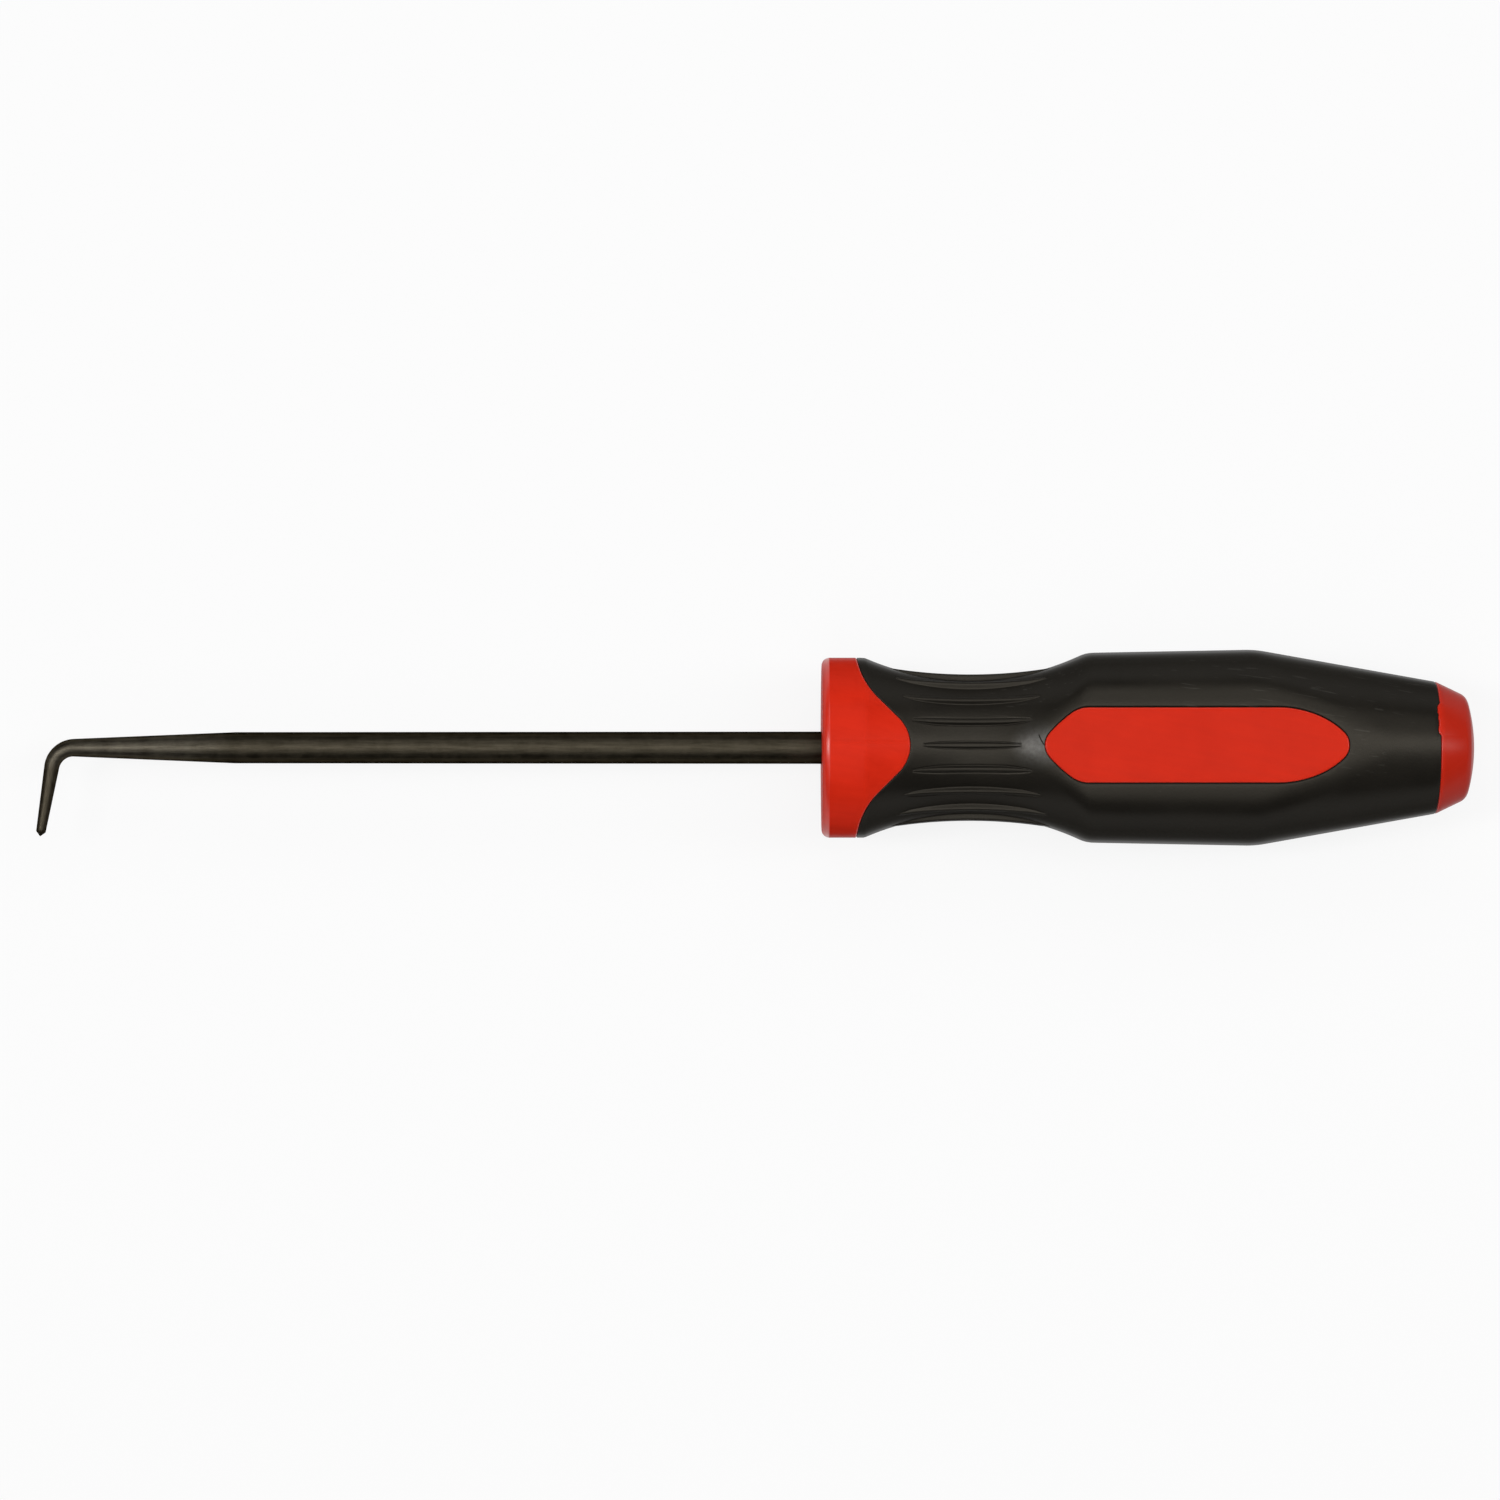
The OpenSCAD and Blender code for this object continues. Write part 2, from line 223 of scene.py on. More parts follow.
class Profile:
    """The handle's half section: X and radius at a distance from the front of the bolster's round side.

    Distances below nought run over the front face into the bore, the others to the middle of the butt.
    """

    def __init__(self):
        front = self.front_points()
        outside = self.outside_points()
        before = lengths_along(front)
        self.front_places = before - before[-1]
        self.outside_places = lengths_along(outside)
        self.places = np.concatenate([self.front_places[:-1], self.outside_places])
        self.points = np.concatenate([front[:-1], outside])
        self.outside_x = outside[:, 0]

    def front_points(self):
        rim = arc([BORE_RIM, BORE_R + BORE_RIM], BORE_RIM, 270, 180)
        edge = arc([BOLSTER_EDGE, BOLSTER_R - BOLSTER_EDGE], BOLSTER_EDGE, 180, 90, EDGE_STEP)
        face = np.linspace(rim[-1], edge[0], FRONT_FACE_RINGS)
        return np.concatenate([[[BORE_LEN, 0.0], [BORE_LEN, BORE_R]], rim, face[1:-1], edge])

    def outside_points(self):
        waist = np.array([WAIST_X, WAIST_R + WAIST_ARC])

        def beside_waist(level, edge, side):
            across = math.sqrt((WAIST_ARC + edge) ** 2 - (waist[1] - level + edge) ** 2)
            return np.array([WAIST_X + side * across, level - edge])

        back = beside_waist(BOLSTER_R, BOLSTER_BACK_EDGE, -1)
        swell = beside_waist(SWELL_FRONT_R, SWELL_FRONT_EDGE, 1)
        swell_front_x = WAIST_X + math.sqrt(WAIST_ARC ** 2 - (waist[1] - SWELL_FRONT_R) ** 2)
        rise = angle_of([SWELL_REAR_X - swell_front_x, SWELL_REAR_R - SWELL_FRONT_R])
        cone_end = np.array([HANDLE_LEN - BUTT_LEN, CONE_END_R])
        fall = angle_of([cone_end[0] - SWELL_REAR_X, SWELL_REAR_R - CONE_END_R])
        drop = SWELL_REAR_EDGE / math.cos(math.radians((rise + fall) / 2))
        rear = np.array([SWELL_REAR_X, SWELL_REAR_R]) - drop * heading(90 - (fall - rise) / 2)
        dome = np.array([HANDLE_LEN - BUTT_DOME, 0.0])
        depth = heading(90 - BUTT_SLOPE) @ (cone_end - dome) - BUTT_EDGE
        butt_angle = 90 - BUTT_SLOPE - math.degrees(math.acos(depth / (BUTT_DOME - BUTT_EDGE)))
        butt = dome + (BUTT_DOME - BUTT_EDGE) * heading(butt_angle)
        return np.concatenate([
            [[BOLSTER_EDGE, BOLSTER_R]],
            arc(back, BOLSTER_BACK_EDGE, 90, angle_of(waist - back)),
            arc(waist, WAIST_ARC, angle_of(back - waist), angle_of(swell - waist))[1:],
            arc(swell, SWELL_FRONT_EDGE, angle_of(waist - swell), 90 + rise)[1:],
            arc(rear, SWELL_REAR_EDGE, 90 + rise, 90 - fall),
            [cone_end],
            arc(butt, BUTT_EDGE, 90 - BUTT_SLOPE, butt_angle),
            arc(dome, BUTT_DOME, butt_angle, 0)[1:],
        ])

    def at(self, places):
        """X and radius at some places."""
        x = np.interp(places, self.places, self.points[:, 0])
        return x, np.interp(places, self.places, self.points[:, 1])

    def place_of(self, x):
        """Place on the outside at a distance from the front face."""
        return np.interp(x, self.outside_x, self.outside_places)


PROFILE = Profile()


def face_height(x):
    """Height of a flattened face over the axis."""
    return FACE_HALF + np.tan(np.radians(FACE_LEAN)) * (x - FACE_X)


def face_radius(x, angle):
    """Distance from the axis to a flattened face with its rounded sides, in a direction round the axis."""
    across = np.abs(np.sin(np.radians(angle)))
    up = np.abs(np.cos(np.radians(angle)))
    height = face_height(x)
    flat = height / np.maximum(up, TINY)
    centre_up = height - FACE_ROUND
    ahead = FACE_FLAT * across + centre_up * up
    rounded = ahead + np.sqrt(ahead ** 2 - FACE_FLAT ** 2 - centre_up ** 2 + FACE_ROUND ** 2)
    radius = np.where(flat * across <= FACE_FLAT, flat, rounded)
    return np.where((radius * up > FACE_LOW) & (x > WAIST_X), radius, FAR)


def skin_radius(places, angle):
    """Distance of the handle's skin from its axis, without ribs and edges."""
    x, radius = PROFILE.at(places)
    face = np.where(places > 0, face_radius(x, angle), FAR)
    near = np.maximum(FACE_SOFT - np.abs(radius - face), 0.0) / FACE_SOFT
    near *= np.clip((radius * np.abs(np.cos(np.radians(angle))) - FACE_LOW) / FACE_FADE, 0.0, 1.0)
    return np.minimum(radius, face) - near ** 2 * FACE_SOFT / 4


def tongue_line():
    """Half outline of the bolster's tongue, from its tip on the axis to the side, as [X, Y] points."""
    tip = arc([TONGUE_TIP_X - TONGUE_TIP_R, 0.0], TONGUE_TIP_R, 0, 90 - TONGUE_FLANK)
    root_x = TONGUE_ROOT_X + TONGUE_ROOT_R
    flank_end_x = root_x - TONGUE_ROOT_R * math.sin(math.radians(TONGUE_FLANK))
    flank_end_y = tip[-1, 1] + (tip[-1, 0] - flank_end_x) * math.tan(math.radians(TONGUE_FLANK))
    root_y = flank_end_y + TONGUE_ROOT_R * math.cos(math.radians(TONGUE_FLANK))
    root = arc([root_x, root_y], TONGUE_ROOT_R, 270 - TONGUE_FLANK, 180)
    return np.concatenate([tip, root])


def tongue_border():
    """The tongue's edge on the handle, as [place, angle] points from the middle of the face to the side."""
    line = tongue_line()
    angles = np.linspace(0.0, 90.0, BORDER_STEPS + 1)
    x = np.full_like(angles, TONGUE_ROOT_X)
    for _ in range(BORDER_ROUNDS):
        radius = PROFILE.at(PROFILE.place_of(x))[1]
        x = np.interp(radius * np.sin(np.radians(angles)), line[:, 1], line[:, 0])
    return np.column_stack([PROFILE.place_of(x), angles])


def window_end(runs, tip_x):
    """Half of a window's end: roundings that meet smoothly, from the straight edge to the tip."""
    (first_r, first_turn), (second_r, second_turn) = runs
    first_cos = heading(first_turn)[0]
    second_cos = heading(second_turn)[0]
    sink = first_r * (1 - first_cos) + second_r * (first_cos - second_cos)
    tip_r = (WINDOW_HALF - sink) / second_cos
    tip = np.array([tip_x - tip_r, 0.0])
    flank = tip + (tip_r - second_r) * heading(90 - second_turn)
    shoulder = flank + (second_r - first_r) * heading(90 - first_turn)
    return np.concatenate([
        arc(shoulder, first_r, 90, 90 - first_turn),
        arc(flank, second_r, 90 - first_turn, 90 - second_turn)[1:],
        arc(tip, tip_r, 90 - second_turn, 0)[1:],
    ])


def window_border():
    """Half of the window's edge on the handle, as [place, angle] points from its front to its rear tip."""
    front = window_end(WINDOW_FRONT_RUNS, -WINDOW_FRONT_X)[::-1] * [-1, 1]
    line = evenly(np.concatenate([front, window_end(WINDOW_REAR_RUNS, WINDOW_REAR_X)]), PROFILE_STEP)
    height = face_height(line[:, 0])
    beyond = np.maximum(line[:, 1] - FACE_FLAT, 0.0)
    up = height - FACE_ROUND + np.sqrt(FACE_ROUND ** 2 - beyond ** 2)
    angles = np.degrees(np.arctan2(np.maximum(line[:, 1], 0.0), up))
    angles[[0, -1]] = 0.0
    return np.column_stack([PROFILE.place_of(line[:, 0]), angles])


def short_edge(angles):
    """How far the grip's rear edge lies back from its true place, round the handle."""
    turn = (angles + 180.0) % 360.0 - 180.0
    start = np.clip((turn - SHORT_FROM) / SHORT_SOFT, 0.0, 1.0)
    end = np.clip((SHORT_TO - turn) / SHORT_SOFT, 0.0, 1.0)
    waves = sum(np.sin(np.radians(wave * turn) + wave) for wave in NICK_WAVES) / len(NICK_WAVES)
    return start * end * (SHORT_BACK + NICK_DEPTH * waves)


def flat_arc(angles):
    """Length round the handle that an angle takes in the flat layout."""
    return np.radians(angles) * SHEET_R


class Sheet:
    """Points and edges of a quarter of the handle's side, laid out flat as [place, angle]."""

    def __init__(self):
        self.points = []
        self.marks = []
        self.edges = []

    def add(self, places, angles, lip=math.inf, zone=0, rise=0.0, joined=True):
        """Adds a row of points and returns their numbers. A lip is a signed distance from a colour edge."""
        rises = np.broadcast_to(rise, np.shape(places))
        first = len(self.points)
        for place, angle, height in zip(places, angles, rises):
            self.points.append((float(place), float(np.clip(angle, 0.0, 90.0))))
            self.marks.append((lip, zone, float(height)))
        numbers = list(range(first, len(self.points)))
        if joined:
            self.edges += list(zip(numbers, numbers[1:]))
        return numbers


def add_border(sheet, border, zone):
    """Adds a colour edge and the rows of its rounded lips on both sides."""
    flat = evenly(np.column_stack([border[:, 0], flat_arc(border[:, 1])]), ROW_STEP)
    ahead = np.gradient(flat, axis=0)
    ahead[[0, -1]] = np.array([0.0, 1.0]) * np.sign(ahead[[0, -1], 1])[:, None]
    if zone == TONGUE:
        ahead[-1] = [0.0, 1.0]
    ahead /= np.linalg.norm(ahead, axis=1)[:, None]
    outward = np.column_stack([ahead[:, 1], -ahead[:, 0]]) * BORDER_SIDE[zone]
    for side, width in ((-1, RED_LIP), (1, BLACK_LIP)):
        for share in LIP_ROWS:
            row = flat + outward * side * width * share
            sheet.add(row[:, 0], np.degrees(row[:, 1] / SHEET_R), side * width * share, zone)
    angles = np.degrees(flat[:, 1] / SHEET_R)
    sheet.add(flat[:, 0], angles, 0.0, zone)
    return np.column_stack([flat[:, 0], angles])


def add_parting_line(sheet):
    """Adds the groove of the parting line, which Skin keeps on one side of the middle only."""
    end = TONGUE_TIP_X - RED_LIP - PARTING_CLEAR
    x = np.linspace(SHEET_FRONT_X + PARTING_CLEAR, end, round(end / RIB_STEP))
    places = PROFILE.place_of(x)
    radius = PROFILE.at(places)[1]
    for side, depth in ((-1, 0.0), (0, PARTING_DEPTH), (1, 0.0)):
        angles = np.degrees((PARTING_Y + side * PARTING_HALF) / radius)
        sheet.add(places, angles, rise=-depth)


def rib_height(along, half):
    """Height of a rib's crest over the waist at a distance from its middle."""
    return np.maximum(half ** 2 - along ** 2, 0.0) / 2 * (1 / WAIST_ARC - 1 / RIB_ARC)


def rib_half_width(height):
    """Half width of a rib at its foot, narrower towards its ends, where it sinks into the waist."""
    return RIB_FOOT * np.sqrt(np.minimum(height / RIB_FULL, 1.0))


def rib_section(share, height, width):
    """Height of a rib at a share of its half width: narrow crest, steep flanks, fine groove at the foot."""
    crest = RIB_CREST / RIB_FOOT
    slope = np.clip((share - crest) / (1 - crest), 0.0, 1.0)
    off_groove = min(abs(share - RIB_GROOVE_SHARE) / RIB_GROOVE_HALF, 1.0)
    groove = RIB_GROOVE * width / RIB_FOOT * (1 - off_groove ** 2) ** 2
    return height * (1 - slope ** 2 * (3 - 2 * slope)) - groove


def add_rib(sheet, angle):
    """Adds the rows of points of one rib, or of the half that lies in this quarter."""
    half = RIB_HALF_FRONT + RIB_HALF_GAIN * abs(math.sin(math.radians(angle)))
    steps = 2 * round(half / RIB_STEP)
    along = np.linspace(-half, half, steps + 1)
    places = PROFILE.place_of(WAIST_X + along)
    radius = PROFILE.at(places)[1]
    height = rib_height(along, half)
    width = rib_half_width(height)
    crest = sheet.add(places, np.full_like(along, angle), rise=height, joined=angle > 0)
    thick = width > RIB_THIN
    for side in ((1,) if angle == 0 else (-1, 1)):
        for share in RIB_ROWS:
            turn = np.degrees(share * width / radius) * side
            rise = rib_section(share, height, width)
            row = sheet.add(places[thick], (angle + turn)[thick], rise=rise[thick])
        sheet.edges += [(crest[0], row[0]), (row[-1], crest[-1])]
        turn = np.degrees((width + RIB_MARGIN) / radius) * side
        sheet.add(places[thick], (angle + turn)[thick])


def add_seams(sheet, front, rear):
    """Closes the quarter: its two seams along the handle and its two ends."""
    angles = np.linspace(0.0, 90.0, QUARTER_SIDES + 1)
    for place in (front, rear):
        sheet.add(np.full_like(angles, place), angles)
    for seam in (0.0, 90.0):
        taken = [i for i, point in enumerate(sheet.points) if abs(point[1] - seam) < TINY]
        there = np.array([sheet.points[i][0] for i in taken])
        fill = np.linspace(front, rear, round((rear - front) / GRID_STEP))
        fill = [place for place in fill if np.abs(there - place).min() > SEAM_CLEAR]
        numbers = taken + sheet.add(fill, np.full(len(fill), seam), joined=False)
        numbers.sort(key=lambda i: sheet.points[i][0])
        sheet.edges += list(zip(numbers, numbers[1:]))


def add_grid(sheet, front, rear):
    """Fills the rest of the quarter with staggered rows of points."""
    tree = kdtree.KDTree(len(sheet.points))
    for i, (place, angle) in enumerate(sheet.points):
        tree.insert((place, flat_arc(angle), 0.0), i)
    tree.balance()
    top = flat_arc(90.0)
    rows = round((rear - front) / (GRID_STEP * math.sqrt(3) / 2))
    columns = round(top / GRID_STEP)
    for i in range(1, rows):
        place = front + (rear - front) * i / rows
        for k in range(columns):
            across = (k + 1 / 4 + (i % 2) / 2) * top / columns
            if tree.find((place, across, 0.0))[2] > CLEAR_STEP and across < top - CLEAR_STEP:
                sheet.add([place], [math.degrees(across / SHEET_R)], joined=False)


def quarter_sheet():
    """The quarter's points, their marks and its triangles, and whether each is red."""
    sheet = Sheet()
    tongue = add_border(sheet, tongue_border(), TONGUE)
    window = add_border(sheet, window_border(), WINDOW)
    add_parting_line(sheet)
    for angle in range(0, 90, 360 // RIB_COUNT):
        add_rib(sheet, angle)
    front = PROFILE.place_of(SHEET_FRONT_X)
    rear = PROFILE.place_of(SHEET_REAR_X)
    add_seams(sheet, front, rear)
    add_grid(sheet, front, rear)
    flat = [Vector((place, flat_arc(angle))) for place, angle in sheet.points]
    _, _, faces, originals, _, _ = delaunay_2d_cdt(flat, sheet.edges, [], 0, TINY)
    own_number = np.array([group[0] for group in originals])
    faces = own_number[np.array(faces)]
    points = np.array(sheet.points)
    middle = points[faces].mean(axis=1)
    red = middle[:, 0] < np.interp(middle[:, 1], tongue[:, 1], tongue[:, 0])
    red |= middle[:, 1] < np.interp(middle[:, 0], window[:, 0], window[:, 1], left=-1.0, right=-1.0)
    return points, np.array(sheet.marks), faces.tolist(), red.tolist()


def ring_places():
    """Rings in front of the sheet and behind it, each as its place, lip and zone."""
    front = [(place, math.inf, 0) for place in PROFILE.front_places]
    front.append((PROFILE.place_of(SHEET_FRONT_X), math.inf, 0))
    edge = PROFILE.place_of(GRIP_END_X)
    rear = [(PROFILE.place_of(SHEET_REAR_X), math.inf, 0)]
    rear += [(edge - BLACK_LIP * share, BLACK_LIP * share, BUTT) for share in LIP_ROWS[::-1]]
    rear.append((edge, 0.0, BUTT))
    rear += [(edge + RED_LIP * share, -RED_LIP * share, BUTT) for share in LIP_ROWS]
    tail = PROFILE.outside_places[PROFILE.outside_places > rear[-1][0]]
    for place in tail:
        if place - rear[-1][0] > TAIL_STEP or place == tail[-1]:
            rear.append((place, math.inf, 0))
    return front, rear


def quarter_rings(rings, red_from):
    """Quads between rings of points over a quarter. Rings from one number on are red."""
    angles = np.linspace(0.0, 90.0, QUARTER_SIDES + 1)
    points = np.array([(place, angle) for place, _, _ in rings for angle in angles])
    marks = np.array([(lip, zone, 0.0) for _, lip, zone in rings for _ in angles])
    faces = []
    red = []
    wide = len(angles)
    for i in range(len(rings) - 1):
        for k in range(QUARTER_SIDES):
            corner = i * wide + k
            faces.append([corner, corner + wide, corner + wide + 1, corner + 1])
            red.append(i >= red_from)
    return points, marks, faces, red


class Skin:
    """The whole handle's side as points on a flat layout, and the faces between them."""

    def __init__(self):
        front, rear = ring_places()
        self.collect([quarter_sheet(), quarter_rings(front, 0), quarter_rings(rear, len(LIP_ROWS) + 1)])
        self.set_facing()
        self.set_window()

    def collect(self, sets):
        """Mirrors the quarter to the whole handle and welds its seams."""
        places, angles, marks, faces, red = [], [], [], [], []
        offset = 0
        for points, some_marks, some_faces, some_red in sets:
            for sign, base in ((1, 0.0), (-1, 0.0), (-1, 180.0), (1, 180.0)):
                places.append(points[:, 0])
                angles.append(base + sign * points[:, 1])
                marks.append(some_marks)
                faces += [[i + offset for i in face] for face in some_faces]
                red += some_red
                offset += len(points)
        places = np.concatenate(places)
        angles = np.concatenate(angles) % 360.0
        angles[PROFILE.at(places)[1] < TINY] = 0.0
        keys = np.column_stack([np.round(places, WELD_DIGITS), np.round(angles, WELD_DIGITS) % 360.0])
        _, kept, merged = np.unique(keys, axis=0, return_index=True, return_inverse=True)
        merged = merged.reshape(-1)
        self.places = places[kept]
        self.angles = angles[kept]
        self.lips, self.zones, rises = np.concatenate(marks)[kept].T
        on_line = (rises < 0) & (PROFILE.at(self.places)[0] < TONGUE_TIP_X)
        self.rises = np.where(on_line & (self.angles > 180.0), 0.0, rises)
        self.faces = []
        self.red = []
        for face, is_red in zip(faces, red):
            corners = list(dict.fromkeys(int(merged[i]) for i in face))
            if len(corners) > 2:
                self.faces.append(corners)
                self.red.append(bool(is_red))

    def set_facing(self):
        """Turns every face so that it looks outward."""
        points = self.laid(self.places, skin_radius(self.places, self.angles))
        for i, face in enumerate(self.faces):
            a, b, c = points[face[:3]]
            place = np.mean(self.places[face])
            ahead = np.diff(PROFILE.at(np.array([place - TINY, place + TINY])), axis=1)[:, 0]
            turn = math.radians(self.angles[face[1]])
            outward = np.array([-ahead[1], ahead[0] * math.sin(turn), ahead[0] * math.cos(turn)])
            if np.dot(np.cross(b - a, c - a), outward) < 0:
                self.faces[i] = face[::-1]

    def set_window(self):
        """Marks the points of the window's red faces."""
        red_points = np.unique([i for face, is_red in zip(self.faces, self.red) if is_red for i in face])
        x = PROFILE.at(self.places)[0]
        self.window = np.zeros(len(x), bool)
        self.window[red_points] = True
        self.window &= (x > WAIST_X) & (x < SHEET_REAR_X) & (self.places > 0)

    def laid(self, places, radius):
        """Points in space at some places and distances from the axis."""
        turn = np.radians(self.angles)
        return np.column_stack([PROFILE.at(places)[0], radius * np.sin(turn), radius * np.cos(turn)])

    def lip_drop(self, red):
        """Depth of the rounded edge at each point, on the red or the black side."""
        width = RED_LIP if red else BLACK_LIP
        side = self.lips <= 0 if red else self.lips >= 0
        away = np.minimum(np.abs(self.lips), width)
        drop = width - np.sqrt(width ** 2 - (width - away) ** 2)
        return np.where(side, drop, 0.0)

    def outer(self, red):
        """Points of the outer skin, as the red or the black side has them."""
        places = self.places - np.where(self.zones == BUTT, short_edge(self.angles), 0.0)
        drop = self.lip_drop(red) + np.where(self.window & red, WINDOW_DROP, 0.0)
        return self.laid(places, skin_radius(places, self.angles) + self.rises - drop)

    def inner(self, gap):
        """Points of the skin under the grip."""
        return self.laid(self.places, skin_radius(self.places, self.angles) - GRIP_WALL - gap)

    def rubbed(self):
        """How far the red edges are rubbed, for the points of the outer skin and then of the inner one."""
        share = np.minimum(np.abs(self.lips) / RED_LIP, 1.0)
        lips = np.where(self.lips <= 0, RUBBED_LIP * 4 * share * (1 - share), 0.0)
        front = np.interp(PROFILE.at(self.places)[0], *RUBBED_FRONT) * (self.places < 0)
        front *= skin_radius(self.places, self.angles) > BOLSTER_R - BOLSTER_EDGE
        outer = np.maximum(lips, front)
        return np.concatenate([outer, np.zeros_like(outer)])

    def shell(self, red):
        """Points and faces of the closed core, or of the closed grip."""
        outer = self.outer(red)
        inner = self.inner(SEAT_GAP if red else 0.0)
        count = len(outer)
        mine = [face for face, is_red in zip(self.faces, self.red) if is_red == red]
        others = [face for face, is_red in zip(self.faces, self.red) if is_red != red]
        under = [[i + count for i in face] for face in (others if red else mine)]
        if not red:
            under = [face[::-1] for face in under]
        borders = {(a, b) for face in others for a, b in zip(face, face[1:] + face[:1])}
        walls = []
        for face in mine:
            for a, b in zip(face, face[1:] + face[:1]):
                if (b, a) in borders:
                    walls.append([b, a, a + count, b + count])
        return np.concatenate([outer, inner]), mine + under + walls


def pick_stations():
    """Distances along the pick from the end of its parallel shank, with the radius at each."""
    bend_end = TAPER_LEN + BEND_R * math.radians(BEND_TURN)
    end = bend_end + HOOK_LEN
    point = end - POINT_LEN
    tang_end = -SHANK_LEN - TANG_LEN
    stations = [(tang_end, 0.0), (tang_end, SHANK_R_REAR - TANG_CHAMFER)]
    stations += [(s, SHANK_R_REAR) for s in np.linspace(tang_end + TANG_CHAMFER, -SHANK_LEN, TANG_RINGS)]
    for s in np.linspace(-SHANK_LEN, 0.0, SHANK_RINGS)[1:]:
        stations.append((s, np.interp(s, [-SHANK_LEN, 0.0], [SHANK_R_REAR, SHANK_R_FRONT])))
    tapered = np.concatenate([
        np.linspace(0.0, TAPER_LEN, TAPER_RINGS)[1:],
        np.linspace(TAPER_LEN, bend_end, BEND_RINGS)[1:],
        np.linspace(bend_end, point, HOOK_RINGS)[1:],
    ])
    stations += [(s, np.interp(s, [0.0, point], [SHANK_R_FRONT, TIP_R])) for s in tapered]
    return stations + [(end - POINT_ROUND, POINT_ROUND), (end, 0.0)]


def pick_centre(s):
    """Place and side of the pick's centre line, in the plane of the hook."""
    bend_len = BEND_R * math.radians(BEND_TURN)
    turn = math.degrees(min(max(s - TAPER_LEN, 0.0), bend_len) / BEND_R)
    past = s - TAPER_LEN if s < TAPER_LEN else max(s - TAPER_LEN - bend_len, 0.0)
    at = np.array([-SHANK_LEN - TAPER_LEN, -BEND_R]) + BEND_R * heading(90 + turn)
    return at + past * heading(180 + turn), heading(90 + turn)


def pick_mesh():
    """Points and faces of the pick."""
    points = []
    faces = []
    rings = []
    for s, radius in pick_stations():
        at, side = pick_centre(s)
        first = len(points)
        for k in range(PICK_SIDES if radius > 0 else 1):
            turn = 2 * math.pi * k / PICK_SIDES
            across = radius * math.cos(turn)
            points.append((at[0] + across * side[0], at[1] + across * side[1], radius * math.sin(turn)))
        rings.append(list(range(first, len(points))))
    for near, far in zip(rings, rings[1:]):
        for k in range(PICK_SIDES):
            following = (k + 1) % PICK_SIDES
            corners = [near[k % len(near)], far[k % len(far)]]
            corners += [far[following % len(far)], near[following % len(near)]]
            faces.append(list(dict.fromkeys(corners)))
    return np.array(points), faces


def used_points(faces):
    """Numbers of the points that some faces use, in order."""
    return sorted({i for face in faces for i in face})


def make_object(name, points, faces):
    """A mesh object in metres, of the points that its faces use, smooth but for its sharp edges."""
    used = used_points(faces)
    number = {i: k for k, i in enumerate(used)}
    mesh = bpy.data.meshes.new(name)
    corners = ((points[used] + ORIGIN) * MM).tolist()
    mesh.from_pydata(corners, [], [[number[i] for i in face] for face in faces])
    mesh.validate()
    mesh.polygons.foreach_set("use_smooth", [True] * len(mesh.polygons))
    mesh.set_sharp_from_angle(angle=math.radians(SHARP_ANGLE))
    obj = bpy.data.objects.new(name, mesh)
    bpy.context.scene.collection.objects.link(obj)
    return obj


def mark_rubbed(obj, shares):
    """Stores how far each point of a piece is rubbed, for its material."""
    obj.data.attributes.new("rubbed", "FLOAT", "POINT").data.foreach_set("value", shares)


def hand_in(obj, node, material):
    """Lets a piece stand for its CAD node."""
    obj.data.materials.append(material)
    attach(obj, "root")
    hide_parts(node)


# Ranges that rise and fall between nought and one, and plain white
RISE = (0.0, 1.0)
FALL = (1.0, 0.0)
WHITE = (1.0, 1.0, 1.0, 1.0)

# Noises: layers of detail, how much each finer layer counts, and the middle range of their values
SMOOTH = 1.0
PLAIN = 2.0
RICH = 3.0
FINE = 4.0
NOISE_ROUGHNESS = 0.55
NOISE_BODY = (0.3, 0.7)


class Nodes:
    """Short ways to add shader nodes to a tree."""

    def __init__(self, tree):
        self.tree = tree

    def node(self, kind, inputs=(), **settings):
        """A node with its settings, and with values or links in its inputs."""
        made = self.tree.nodes.new(kind)
        for key, value in settings.items():
            setattr(made, key, value)
        for key, value in dict(inputs).items():
            self.feed(made.inputs[key], value)
        return made

    def feed(self, socket, value):
        """Sets a socket to a value, or links it to another socket."""
        if isinstance(value, bpy.types.NodeSocket):
            self.tree.links.new(value, socket)
        else:
            socket.default_value = value

    def ramp(self, value, span, to=RISE):
        """The value, carried from one range to another and held at its ends."""
        made = self.node("ShaderNodeMapRange", {
            "Value": value, "From Min": span[0], "From Max": span[1], "To Min": to[0], "To Max": to[1]})
        return made.outputs["Result"]

    def between(self, factor, first, second):
        """A number between two others."""
        return self.ramp(factor, RISE, (first, second))

    def maths(self, operation, *values):
        """The result of an operation on numbers."""
        return self.node("ShaderNodeMath", enumerate(values), operation=operation).outputs["Value"]


# Satin skins: the spans over which they go dull as they turn from the eye and gleam again at the rim
SATIN_BLEND = 0.5
SATIN_TURN = (0.18, 0.50)
SATIN_DULL = 1.0
SATIN_RIM = (0.60, 0.80)
SATIN_GLEAM = 0.45


